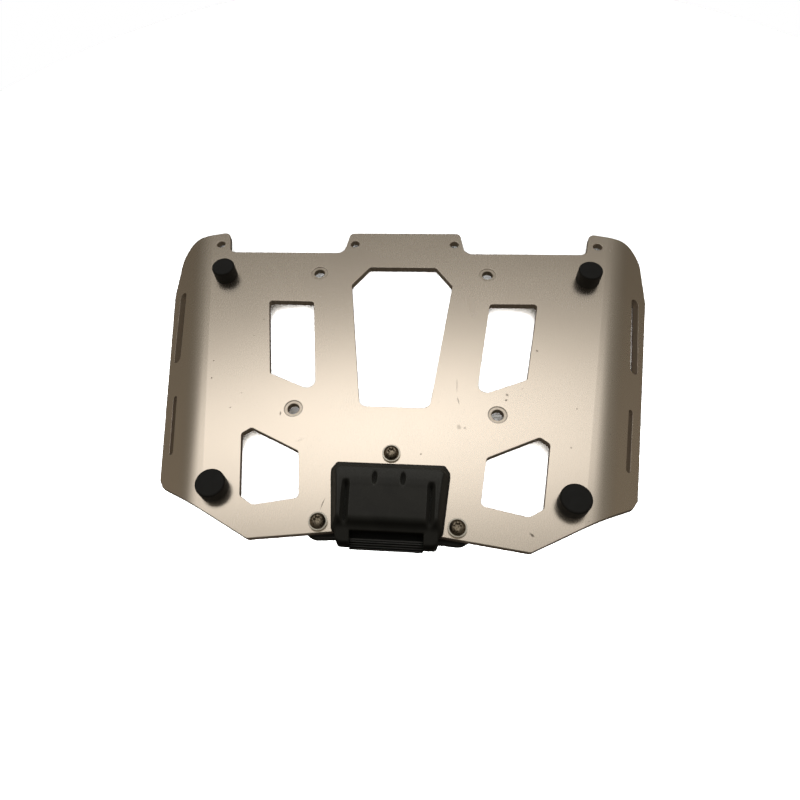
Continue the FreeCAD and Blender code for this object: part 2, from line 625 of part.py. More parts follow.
def lock_nut(name, x, y, z):
    """Hexagon nut with a round collar under it and chamfered corners."""
    hexa = doc.addObject("Part::Prism", name + "_hex")
    hexa.Polygon = 6
    hexa.setExpression("Circumradius", "dims.nut_flat / 2 / cos(30deg)")
    hexa.setExpression("Height", "dims.nut_tall * 0.72")
    cone = doc.addObject("Part::Cone", name + "_cone")
    cone.setExpression("Radius1", "dims.nut_flat / 2 + 2.2")
    cone.setExpression("Radius2", "dims.nut_flat / 2 * 0.96")
    cone.setExpression("Height", "dims.nut_tall * 0.72")
    collar = doc.addObject("Part::Cylinder", name + "_collar")
    collar.setExpression("Radius", "dims.nut_flat / 2 * 0.88")
    collar.setExpression("Height", "dims.nut_tall")
    bore = doc.addObject("Part::Cylinder", name + "_bore")
    bore.setExpression("Radius", "dims.nut_bore")
    bore.setExpression("Height", "dims.nut_tall + 2")
    body = doc.addObject("Part::Common", name + "_body")
    body.Base, body.Tool = hexa, cone
    whole = doc.addObject("Part::Fuse", name + "_whole")
    whole.Base, whole.Tool = body, collar
    bore.Placement.Base = V(0, 0, -1)
    cut = doc.addObject("Part::Cut", name)
    cut.Base, cut.Tool = whole, bore
    # turned over, so that the collar points to the ground
    cut.Placement = FreeCAD.Placement(V(0, 0, 0), FreeCAD.Rotation(V(1, 0, 0), 180))
    cut.setExpression("Placement.Base.x", x)
    cut.setExpression("Placement.Base.y", y)
    cut.setExpression("Placement.Base.z", z)
    return cut


def group(label, members):
    g0 = doc.addObject("Part::Compound", label)
    g0.Label = label
    g0.Links = members
    pieces.append(g0)
    return g0


UNDER = TOP + " - dims.sheet"
group("buffer_washers", [
    washer("bw%d" % i, x, y, UNDER + " - dims.wsh_thk") for i, (s, x, y, r, t) in enumerate(BUFFERS, 1)
])
group("buffer_lock_nuts", [
    lock_nut("bn%d" % i, x, y, UNDER + " - dims.wsh_thk") for i, (s, x, y, r, t) in enumerate(BUFFERS, 1)
])
SCREWS = (
    ("front_latch_screw", "0", "dims.sc_fy"),
    ("rear_left_latch_screw", "-dims.sc_rx", "dims.sc_ry"),
    ("rear_right_latch_screw", "dims.sc_rx", "dims.sc_ry"),
)
EARS = UNDER + " - dims.base_thk"
group("latch_top_washers", [washer("lt%d" % i, x, y, TOP) for i, (s, x, y) in enumerate(SCREWS, 1)])
group("latch_bottom_washers", [washer("lb%d" % i, x, y, EARS + " - dims.wsh_thk") for i, (s, x, y) in enumerate(SCREWS, 1)])
group("latch_lock_nuts", [lock_nut("ln%d" % i, x, y, EARS + " - dims.wsh_thk") for i, (s, x, y) in enumerate(SCREWS, 1)])


# ---------------------------------------------------------------------------
# Three button-head screws with six-lobed sockets
# ---------------------------------------------------------------------------
def lobed(sk, outer, inner):
    """Six-lobed drive outline, made of tangent-like arcs."""
    ids = []
    for i in range(6):
        c0 = math.radians(60 * i)
        p = []
        for da, rr in ((-15, 0.94 * outer), (0, outer), (15, 0.94 * outer), (30, inner), (45, 0.94 * outer)):
            q0 = c0 + math.radians(da)
            p.append(V(rr * math.cos(q0), rr * math.sin(q0), 0))
        ids.append(sk.addGeometry(Part.Arc(p[0], p[1], p[2]), False))
        ids.append(sk.addGeometry(Part.Arc(p[2], p[3], p[4]), False))
    for i in ids:
        sk.addConstraint(C("Block", i))


for label, x, y in SCREWS:
    hr, hh, sr, sl = dim("head_rad"), dim("head_tall"), dim("stud_rad"), dim("screw_len")
    body = new_body(label)
    profile = [(0, -sl), (sr - 0.6, -sl), (sr, -sl + 0.6), (sr, 0), (hr, 0), (hr, 0.7), (2.9, hh), (0, hh)]
    f, sk = lathe(body, label + "_turn", profile, {5: (hr - 0.72, 2.15)})
    bind(sk, {
        (0, "y"): "-dims.screw_len", (1, "y"): "-dims.screw_len", (2, "y"): "0.6 - dims.screw_len",
        (3, "x"): "dims.stud_rad", (4, "x"): "dims.head_rad", (5, "x"): "dims.head_rad",
        (6, "y"): "dims.head_tall", (7, "y"): "dims.head_tall",
    })
    sk = new_sketch(body, label + "_drive", lift="dims.head_tall")
    lobed(sk, 2.6, 1.85)
    pocket(body, sk, label + "_socket", "dims.drive_deep")
    place(body, x, y, TOP + " + dims.wsh_thk")
    pieces.append(body)

# ---------------------------------------------------------------------------
# latch_housing: the moulded block that the case hooks on to
# ---------------------------------------------------------------------------
house = new_body("latch_housing")
sk = new_sketch(house, "skirt", lift=TOP)
half = [("sk_tx", "sk_ty"), ("sk_cx", "sk_cy"), ("sk_rx", "sk_ry")]
polygon(sk, half + [("-" + x, y) for x, y in reversed(half)])
pad(house, sk, "skirt_pad", "dims.skirt_thk")

lower = new_sketch(house, "dome_low", lift=TOP + " + dims.skirt_thk")
half = [("lo_fx", "lo_fy"), ("lo_cx", "lo_cy"), ("lo_rx", "lo_ry")]
polygon(lower, half + [("-" + x, y) for x, y in reversed(half)])
upper = new_sketch(house, "dome_high", lift=TOP + " + dims.panel_up")
half = [("hi_fx", "hi_fy"), ("hi_cx", "hi_cy"), ("hi_rx", "hi_ry")]
polygon(upper, half + [("-" + x, y) for x, y in reversed(half)])
dome = house.newObject("PartDesign::AdditiveLoft", "dome")
dome.Profile = lower
dome.Sections = [upper]
dome.Ruled = True
doc.recompute()

# Rear cheeks, above and behind the sheet's edge
sk = new_sketch(house, "cheek_over", lift=TOP)
polygon(sk, [("cheek_x", "cheek_top"), ("cheek_x", "cheek_ry"), ("-cheek_x", "cheek_ry"), ("-cheek_x", "cheek_top")], {1: "cheek_rad", 2: "cheek_rad"})
pad(house, sk, "cheek_over_pad", "dims.cheek_up")
sk = new_sketch(house, "cheek_under", lift=TOP)
polygon(sk, [("cheek_x", "cheek_fy"), ("cheek_x", "cheek_ry"), ("-cheek_x", "cheek_ry"), ("-cheek_x", "cheek_fy")], {1: "cheek_rad", 2: "cheek_rad"})
pad(house, sk, "cheek_under_pad", "dims.cheek_down", down=True)

# The cheeks' tops fall away towards the rear.
sk = new_sketch(house, "cheek_fall", role="YZ_Plane")
zt = dim("plate_top")
polygon(sk, [
    (-142.6 + DY, zt + 5.2), (-149.6 + DY, zt + 3.2), (-153.2 + DY, zt - 0.6),
    (-158.0 + DY, zt - 0.6), (-158.0 + DY, zt + 8.0), (-142.6 + DY, zt + 8.0),
])
pocket(house, sk, "cheek_fall_cut", "200", middle=True)

# Bay between the cheeks, for the hook and the ribbed lip
sk = new_sketch(house, "bay", lift=TOP + " + 20")
polygon(sk, [("bay_x", "bay_fy"), ("bay_x", -160.0 + DY), ("-bay_x", -160.0 + DY), ("-bay_x", "bay_fy")])
pocket(house, sk, "bay_cut")

# Softened edges of the raised block
def near_z(z, tol=0.02):
    return lambda e: all(abs(v.Point.z - z) < tol for v in e.Vertexes)


def panel_edge(e):
    if e.Curve.TypeId != "Part::GeomLine" or len(e.Vertexes) < 2:
        return False
    a, b = e.Vertexes[0].Point, e.Vertexes[-1].Point
    top_z = zt + dim("panel_up")
    low_z = zt + dim("skirt_thk")
    flat_top = abs(a.z - top_z) < 0.02 and abs(b.z - top_z) < 0.02
    hip = (abs(a.z - top_z) < 0.02 and abs(b.z - low_z) < 0.02) or (abs(b.z - top_z) < 0.02 and abs(a.z - low_z) < 0.02)
    return flat_top or (hip and a.y > -120.0 + DY and b.y > -120.0 + DY)


fillet_edges(house, "panel_soft", panel_edge, "2.4")

# Long grooves beside the panel, and two notches at its front
sk = new_sketch(house, "grooves", lift=TOP + " + dims.panel_up + 2")
for s in (1, -1):
    polygon(sk, [(s * 26.2, -113.2 + DY), (s * 30.2, -113.2 + DY), (s * 29.2, -136.4 + DY), (s * 25.6, -136.4 + DY)])
pocket(house, sk, "groove_cut", "4.6")
for s0, side in ((1, "right"), (-1, "left")):
    shift = FreeCAD.Placement(V(0, 0, s0 * 9.2), FreeCAD.Rotation())
    sk = new_sketch(house, "notch_" + side, role="YZ_Plane", offset=shift)
    polygon(sk, [
        (-101.6 + DY, zt + 3.1), (-101.6 + DY, zt + 14.0), (-112.6 + DY, zt + 14.0),
        (-112.6 + DY, zt + 9.3), (-111.4 + DY, zt + 9.2), (-103.2 + DY, zt + 3.0),
    ])
    pocket(house, sk, "notch_cut_" + side, "3.2", middle=True)

# Hollow underneath, with four screw bosses
lower = new_sketch(house, "hollow_low", lift=TOP + " - 0.01")
polygon(lower, [(31.4, -102.6 + DY), (29.6, -138.4 + DY), (-29.6, -138.4 + DY), (-31.4, -102.6 + DY)])
upper = new_sketch(house, "hollow_high", lift=TOP + " + dims.panel_up - dims.wall")
polygon(upper, [(25.4, -112.4 + DY), (24.4, -135.0 + DY), (-24.4, -135.0 + DY), (-25.4, -112.4 + DY)])
before = volume(house)
hollow = house.newObject("PartDesign::SubtractiveLoft", "hollow")
hollow.Profile = lower
hollow.Sections = [upper]
hollow.Ruled = True
doc.recompute()
if not volume(house) < before - 1000:
    raise RuntimeError("hollow cuts nothing")
sk = new_sketch(house, "bosses", lift=UNDER)
for s in ("", "-"):
    circle(sk, s + "boss_x", "boss_fy", "boss_rad")
    circle(sk, s + "boss_x", "boss_ry", "boss_rad")
pad(house, sk, "boss_pad", "dims.sheet + dims.panel_up - dims.wall + 0.6")
sk = new_sketch(house, "pilots", lift=UNDER + " - 1")
for s in ("", "-"):
    circle(sk, s + "boss_x", "boss_fy", "pilot_rad")
    circle(sk, s + "boss_x", "boss_ry", "pilot_rad")
pocket(house, sk, "pilot_cut", "13", up=True)

# Window for the hook through the rear wall
sk = new_sketch(house, "hook_window", lift=TOP + " - 1")
polygon(sk, [(15.0, -143.0 + DY), (15.0, -137.0 + DY), (-15.0, -137.0 + DY), (-15.0, -143.0 + DY)])
pocket(house, sk, "hook_window_cut", "3", up=True)
pieces.append(house)

# ---------------------------------------------------------------------------
# latch_base: the moulding under the sheet, with three ears and a ribbed lip
# ---------------------------------------------------------------------------
base = new_body("latch_base")
sk = new_sketch(base, "base_outline", lift=UNDER)
half = [(9.2, -82.3 + DY), (33.0, -101.0 + DY), (36.0, -127.0 + DY), (45.0, -126.5 + DY), (45.0, -146.5 + DY), (33.4, -145.6 + DY), (32.0, -149.8 + DY)]
polygon(sk, half + [(-x, y) for x, y in reversed(half)])
pad(base, sk, "base_pad", "dims.base_thk", down=True)
sk = new_sketch(base, "ears", lift=UNDER)
circle(sk, 0.0, "sc_fy", "ear_rad")
circle(sk, "sc_rx", "sc_ry", "ear_rad")
circle(sk, "-sc_rx", "sc_ry", "ear_rad")
pad(base, sk, "ear_pad", "dims.base_thk", down=True)
round_corners(base, "base_corner", both([(32.0, -149.8 + DY)]), "2.5")

# Ribbed lip that closes the bay at the rear
sk = new_sketch(base, "lip_section", role="YZ_Plane")
zb = zt - dim("sheet")
y0, y1 = dim("lip_fy"), dim("lip_ry")
profile = [(y0, zb - 1.0), (y0, zt + 0.9)]
for i in range(4):
    # each rib stands proud of the falling face
    ya, za = y0 - 0.9 - i * 1.25, zt + 0.9 - i * 1.15
    if i == 0:
        profile.append((ya, za))
    profile += [(ya - 0.02, za - 1.1), (ya - 0.45, za - 1.25), (ya - 0.5, za - 0.35), (ya - 1.2, za - 0.65)]
profile += [(y1, zt - 4.0), (y1 + 1.0, zb - 1.0)]
polygon(sk, profile)
pad(base, sk, "lip_pad", "dims.lip_x * 2", middle=True)

# Weight-saving recesses in the underside
sk = new_sketch(base, "recess", lift=EARS + " - 1")
for s in (1, -1):
    polygon(sk, [(s * 2.0, -99.0 + DY), (s * 11.0, -99.0 + DY), (s * 16.0, -104.0 + DY), (s * 16.0, -120.0 + DY), (s * 2.0, -120.0 + DY)])
    polygon(sk, [(s * 15.0, -134.0 + DY), (s * 30.0, -134.0 + DY), (s * 30.0, -141.0 + DY), (s * 15.0, -141.0 + DY)])
pocket(base, sk, "recess_cut", "1 + dims.base_thk - dims.web_thk", up=True)
sk = new_sketch(base, "base_holes", lift=TOP + " + 20")
circle(sk, 0.0, "sc_fy", "stud_hole")
for s in ("", "-"):
    circle(sk, s + "sc_rx", "sc_ry", "stud_hole")
    circle(sk, s + "boss_x", "boss_fy", 1.9)
    circle(sk, s + "boss_x", "boss_ry", 1.9)
    circle(sk, s + "cs_x", "cs_y", 2.0)
pocket(base, sk, "base_hole_cut")
pieces.append(base)

# ---------------------------------------------------------------------------
# catch_plate: folded steel angle behind the hook window
# ---------------------------------------------------------------------------
catch = new_body("catch_plate")
sk = new_sketch(catch, "catch_section", role="YZ_Plane")
t2 = dim("catch_thk")
yb = -135.6 + DY
polygon(sk, [(yb, zb), (yb, zt + 5.4), (yb + t2, zt + 5.4), (yb + t2, zb + t2), (yb + 15.0, zb + t2), (yb + 15.0, zb)])
pad(catch, sk, "catch_pad", "dims.catch_x * 2", middle=True)
sk = new_sketch(catch, "catch_window", role="XZ_Plane")
polygon(sk, [(12.0, zt - 2.2), (12.0, zt + 1.9), (-12.0, zt + 1.9), (-12.0, zt - 2.2)])
pocket(catch, sk, "catch_window_cut", middle=True)
sk = new_sketch(catch, "catch_holes", lift=TOP + " + 20")
circle(sk, "cs_x", "cs_y", 2.0)
circle(sk, "-cs_x", "cs_y", 2.0)
pocket(catch, sk, "catch_hole_cut")
pieces.append(catch)


# ---------------------------------------------------------------------------
# Small screws and nuts inside the block
# ---------------------------------------------------------------------------
def pan_screw(name, x, y, z, head_r, head_t, shank_r, length):
    """Pan head below, shank pointing up."""
    head = doc.addObject("Part::Cylinder", name + "_head")
    head.Radius, head.Height = head_r, head_t
    shank = doc.addObject("Part::Cylinder", name + "_shank")
    shank.Radius, shank.Height = shank_r, length
    soft = doc.addObject("Part::Fillet", name + "_soft")
    soft.Base = head
    doc.recompute()
    for i, e in enumerate(head.Shape.Edges, 1):
        if e.Curve.TypeId == "Part::GeomCircle" and abs(e.Curve.Center.z) < 1e-6:
            soft.Edges = [(i, head_t * 0.55, head_t * 0.55)]
    shank.Placement.Base = V(0, 0, head_t)
    whole = doc.addObject("Part::Fuse", name + "_whole")
    whole.Base, whole.Tool = soft, shank
    slot_a = doc.addObject("Part::Box", name + "_slot_a")
    slot_a.Length, slot_a.Width, slot_a.Height = head_r * 1.1, 0.9, head_t * 0.6
    slot_a.Placement.Base = V(-head_r * 0.55, -0.45, 0)
    slot_b = doc.addObject("Part::Box", name + "_slot_b")
    slot_b.Length, slot_b.Width, slot_b.Height = 0.9, head_r * 1.1, head_t * 0.6
    slot_b.Placement.Base = V(-0.45, -head_r * 0.55, 0)
    cross = doc.addObject("Part::Fuse", name + "_cross")
    cross.Base, cross.Tool = slot_a, slot_b
    cut = doc.addObject("Part::Cut", name)
    cut.Base, cut.Tool = whole, cross
    cut.setExpression("Placement.Base.x", x)
    cut.setExpression("Placement.Base.y", y)
    cut.setExpression("Placement.Base.z", "%s - %.3f" % (z, head_t))
    return cut


group("housing_screws", [
    pan_screw("hs%d" % i, x, y, EARS, 3.4, 2.2, 1.58, 14.0)
    for i, (x, y) in enumerate((
        ("-dims.boss_x", "dims.boss_fy"), ("dims.boss_x", "dims.boss_fy"),
        ("-dims.boss_x", "dims.boss_ry"), ("dims.boss_x", "dims.boss_ry"),
    ), 1)
])
group("catch_plate_screws", [
    pan_screw("cs%d" % i, x, "dims.cs_y", EARS, 3.8, 2.4, 1.95, 11.0)
    for i, x in enumerate(("-dims.cs_x", "dims.cs_x"), 1)
])


def small_nut(name, x, y, z):
    hexa = doc.addObject("Part::Prism", name + "_hex")
    hexa.Polygon = 6
    hexa.Circumradius, hexa.Height = 3.5 / math.cos(math.radians(30)), 3.0
    bore = doc.addObject("Part::Cylinder", name + "_bore")
    bore.Radius, bore.Height = 1.97, 5.0
    bore.Placement.Base = V(0, 0, -1)
    cut = doc.addObject("Part::Cut", name)
    cut.Base, cut.Tool = hexa, bore
    cut.setExpression("Placement.Base.x", x)
    cut.setExpression("Placement.Base.y", y)
    cut.setExpression("Placement.Base.z", z)
    return cut


group("catch_plate_nuts", [
    small_nut("cn%d" % i, x, "dims.cs_y", UNDER + " + dims.catch_thk")
    for i, x in enumerate(("-dims.cs_x", "dims.cs_x"), 1)
])

# ---------------------------------------------------------------------------
# Check everything, then write one file for each piece
# ---------------------------------------------------------------------------
doc.recompute()
bad = [o.Label for o in doc.Objects if "Invalid" in o.State or "Error" in o.State]
if bad:
    raise RuntimeError("failed objects: " + ", ".join(bad))
os.makedirs("parts", exist_ok=True)
for piece in pieces:
    shape = piece.Shape
    if shape.isNull() or not shape.isValid():
        raise RuntimeError("bad shape: " + piece.Label)
    box = shape.BoundBox
    print("%-24s solids %d volume %9.1f  x %.1f..%.1f y %.1f..%.1f z %.2f..%.2f" % (
        piece.Label, len(shape.Solids), shape.Volume, box.XMin, box.XMax, box.YMin, box.YMax, box.ZMin, box.ZMax))
    shape.exportStep("parts/%s.step" % piece.Label)
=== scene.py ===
import json
import math

import bpy
import numpy as np
from mathutils import Matrix, Vector


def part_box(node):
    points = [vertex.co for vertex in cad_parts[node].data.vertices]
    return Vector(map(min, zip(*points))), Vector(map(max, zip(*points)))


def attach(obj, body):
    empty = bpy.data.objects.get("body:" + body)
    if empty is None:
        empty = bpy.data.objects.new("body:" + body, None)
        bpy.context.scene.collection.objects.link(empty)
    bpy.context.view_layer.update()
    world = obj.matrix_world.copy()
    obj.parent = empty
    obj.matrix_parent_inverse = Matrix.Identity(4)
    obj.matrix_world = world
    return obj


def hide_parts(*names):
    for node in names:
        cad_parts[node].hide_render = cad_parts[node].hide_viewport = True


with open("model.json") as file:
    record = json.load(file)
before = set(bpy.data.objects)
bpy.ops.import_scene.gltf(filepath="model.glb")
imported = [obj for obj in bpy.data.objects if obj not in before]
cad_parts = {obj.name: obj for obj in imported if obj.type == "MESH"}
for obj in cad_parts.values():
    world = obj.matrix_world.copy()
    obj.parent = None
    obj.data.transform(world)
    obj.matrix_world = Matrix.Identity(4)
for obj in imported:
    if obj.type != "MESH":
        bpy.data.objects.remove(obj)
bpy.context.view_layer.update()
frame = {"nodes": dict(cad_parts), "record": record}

scene = bpy.context.scene
nodes = frame["nodes"]
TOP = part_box("rack_plate")[1].z

# ---------------------------------------------------------------------------
# Node helpers
# ---------------------------------------------------------------------------


class Mat:
    """A small builder for node materials; sockets are set or linked by name."""

    def __init__(self, name):
        self.m = bpy.data.materials.new(name)
        self.m.use_nodes = True
        self.t = self.m.node_tree
        self.t.nodes.clear()
        self.out = self.t.nodes.new("ShaderNodeOutputMaterial")
        self.b = self.node("ShaderNodeBsdfPrincipled")
        self.t.links.new(self.b.outputs["BSDF"], self.out.inputs["Surface"])

    def node(self, kind, **kw):
        n = self.t.nodes.new(kind)
        for k, v in kw.items():
            if hasattr(n, k) and k not in n.inputs:
                setattr(n, k, v)
            else:
                self.put(n, k, v)
        return n

    def put(self, n, key, v):
        sock = n.inputs[key]
        if isinstance(v, bpy.types.NodeSocket):
            self.t.links.new(v, sock)
        else:
            sock.default_value = v

    def coords(self, scale=(1, 1, 1), shift=(0, 0, 0), turn=0.0):
        tc = self.node("ShaderNodeTexCoord")
        mp = self.node("ShaderNodeMapping")
        self.t.links.new(tc.outputs["Object"], mp.inputs["Vector"])
        mp.inputs["Scale"].default_value = scale
        mp.inputs["Location"].default_value = shift
        mp.inputs["Rotation"].default_value = (0, 0, turn)
        return mp.outputs["Vector"]

    def noise(self, vec, scale, detail=3.0, rough=0.5, distort=0.0):
        n = self.node("ShaderNodeTexNoise")
        self.put(n, "Vector", vec)
        n.inputs["Scale"].default_value = scale
        n.inputs["Detail"].default_value = detail
        n.inputs["Roughness"].default_value = rough
        n.inputs["Distortion"].default_value = distort
        return n.outputs["Fac"]

    def voronoi(self, vec, scale, feature="F1", out="Distance", random=1.0):
        n = self.node("ShaderNodeTexVoronoi")
        n.feature = feature
        self.put(n, "Vector", vec)
        n.inputs["Scale"].default_value = scale
        n.inputs["Randomness"].default_value = random
        return n.outputs[out]

    def ramp(self, fac, stops, mode="LINEAR"):
        n = self.node("ShaderNodeValToRGB")
        n.color_ramp.interpolation = mode
        e = n.color_ramp.elements
        while len(e) > 1:
            e.remove(e[-1])
        e[0].position, e[0].color = stops[0][0], self.rgba(stops[0][1])
        for pos, col in stops[1:]:
            x = e.new(pos)
            x.color = self.rgba(col)
        self.put(n, "Fac", fac)
        return n.outputs["Color"]

    @staticmethod
    def rgba(c):
        return (c, c, c, 1) if isinstance(c, (int, float)) else (*c, 1)

    def range(self, v, a, b, c=0.0, d=1.0, smooth=False):
        n = self.node("ShaderNodeMapRange")
        n.interpolation_type = "SMOOTHSTEP" if smooth else "LINEAR"
        self.put(n, "Value", v)
        for k, x in (("From Min", a), ("From Max", b), ("To Min", c), ("To Max", d)):
            self.put(n, k, x)
        return n.outputs["Result"]

    def math(self, op, a, b=None, clamp=False):
        n = self.node("ShaderNodeMath")
        n.operation = op
        n.use_clamp = clamp
        for i, v in enumerate((a, b)):
            if v is None:
                continue
            if isinstance(v, bpy.types.NodeSocket):
                self.t.links.new(v, n.inputs[i])
            else:
                n.inputs[i].default_value = v
        return n.outputs[0]

    def mix(self, fac, a, b, blend="MIX"):
        n = self.node("ShaderNodeMix")
        n.data_type = "RGBA"
        n.blend_type = blend
        for k, v in (("Factor", fac), ("A", a), ("B", b)):
            sock = [s for s in n.inputs if s.name == k and s.enabled][0]
            if isinstance(v, bpy.types.NodeSocket):
                self.t.links.new(v, sock)
            elif k == "Factor":
                sock.default_value = v
            else:
                sock.default_value = self.rgba(v)
        return [s for s in n.outputs if s.enabled][0]

    def bump(self, height, distance, strength=1.0, normal=None):
        n = self.node("ShaderNodeBump")
        n.inputs["Strength"].default_value = strength
        n.inputs["Distance"].default_value = distance
        self.put(n, "Height", height)
        if normal is not None:
            self.put(n, "Normal", normal)
        return n.outputs["Normal"]

    def soft_edges(self, radius):
        n = self.node("ShaderNodeBevel")
        n.samples = 6
        n.inputs["Radius"].default_value = radius
        return n.outputs["Normal"]

    def edge_mask(self, radius, low=0.02, high=0.35):
        """1 on a rounded-over edge, 0 on flat faces."""
        bev = self.node("ShaderNodeBevel")
        bev.samples = 6
        bev.inputs["Radius"].default_value = radius
        geo = self.node("ShaderNodeNewGeometry")
        dot = self.node("ShaderNodeVectorMath")
        dot.operation = "DOT_PRODUCT"
        self.t.links.new(bev.outputs["Normal"], dot.inputs[0])
        self.t.links.new(geo.outputs["Normal"], dot.inputs[1])
        away = self.math("SUBTRACT", 1.0, dot.outputs["Value"])
        return self.range(away, low, high)

    def spot(self, x, y, rx, ry, turn):
        """Distance from a point of the sheet, in units of the half sizes."""
        tc = self.node("ShaderNodeTexCoord")
        off = self.node("ShaderNodeVectorMath")
        off.operation = "SUBTRACT"
        self.t.links.new(tc.outputs["Object"], off.inputs[0])
        off.inputs[1].default_value = (x, y, 0)
        rot = self.node("ShaderNodeVectorRotate")
        rot.rotation_type = "Z_AXIS"
        self.t.links.new(off.outputs[0], rot.inputs["Vector"])
        rot.inputs["Angle"].default_value = -turn
        mul = self.node("ShaderNodeVectorMath")
        mul.operation = "MULTIPLY"
        self.t.links.new(rot.outputs[0], mul.inputs[0])
        mul.inputs[1].default_value = (1 / rx, 1 / ry, 0)
        size = self.node("ShaderNodeVectorMath")
        size.operation = "LENGTH"
        self.t.links.new(mul.outputs[0], size.inputs[0])
        return size.outputs["Value"]

    def up(self):
        geo = self.node("ShaderNodeNewGeometry")
        sep = self.node("ShaderNodeSeparateXYZ")
        self.t.links.new(geo.outputs["Normal"], sep.inputs[0])
        return self.math("ABSOLUTE", sep.outputs["Z"])


def paint(obj, mat):
    obj.data.materials.clear()
    obj.data.materials.append(mat.m)


SEATS = [(0.0691, 0.09165), (-0.0691, 0.09165), (0.0731, -0.03755), (-0.0731, -0.03755)]
MARKS = [
    (0.0446, -0.0145, 0.00035, 0.0058, 0.0, 0.30),
    (0.0455, -0.0270, 0.00060, 0.0036, 0.25, 0.28),
    (0.0802, -0.0212, 0.0012, 0.0011, 0.0, 0.45),
    (0.0794, -0.0256, 0.0010, 0.0009, 0.0, 0.60),
    (0.1038, 0.0177, 0.0010, 0.0011, 0.0, 0.55),
    (0.0916, -0.1230, 0.0019, 0.0009, -0.7, 0.85),
    (-0.0434, -0.1085, 0.0005, 0.0042, -0.25, 0.55),
    (-0.0820, -0.0420, 0.0007, 0.0018, 0.1, 0.50),
    (0.0461, -0.0483, 0.0016, 0.0022, 0.3, 0.22),
    (0.0502, -0.0490, 0.0012, 0.0010, 0.0, 0.25),
    (0.0563, 0.0600, 0.0040, 0.0120, 0.1, 0.07),
    (-0.0648, -0.0628, 0.0030, 0.0010, 0.5, 0.06),
]

